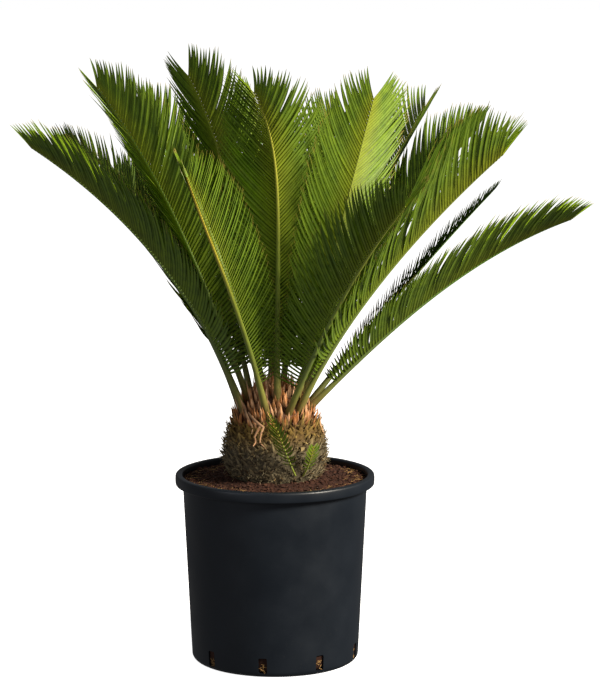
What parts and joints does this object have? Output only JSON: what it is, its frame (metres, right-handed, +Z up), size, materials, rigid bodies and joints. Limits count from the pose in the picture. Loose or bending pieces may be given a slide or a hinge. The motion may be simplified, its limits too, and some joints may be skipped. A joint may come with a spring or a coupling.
{
  "type": "potted sago palm",
  "caption": "Sago palm in a round nursery pot: a bulbous trunk with a crown of bud scales and a spreading funnel of arching feather fronds.",
  "frame": {"origin": "middle of the flat foot of the pot, on the surface it stands on", "axes": "+Z up along the pot's axis; -Y is the plant's front, where the young pup fronds show"},
  "size_m": [0.8413, 0.7401, 0.9285],
  "materials": {
    "pot_plastic": "satin",
    "potting_soil": "matte",
    "trunk_bark": "matte",
    "bud_scales": "matte",
    "frond_green": "satin",
    "pup_green": "satin"
  },
  "bodies": {
    "root": {"pot": "pot_plastic", "soil": "potting_soil", "trunk": "trunk_bark", "crown": "bud_scales", "frond_01": "frond_green", "frond_02": "frond_green", "frond_03": "frond_green", "frond_04": "frond_green", "frond_05": "frond_green", "frond_06": "frond_green", "frond_07": "frond_green", "frond_08": "frond_green", "frond_09": "frond_green", "frond_10": "frond_green", "frond_11": "frond_green", "frond_12": "frond_green", "frond_13": "frond_green", "frond_14": "frond_green", "frond_15": "frond_green", "frond_16": "frond_green", "frond_17": "frond_green", "frond_18": "frond_green", "frond_19": "frond_green", "frond_20": "frond_green", "pup_frond_01": "pup_green", "pup_frond_02": "pup_green"}
  },
  "joints": []
}
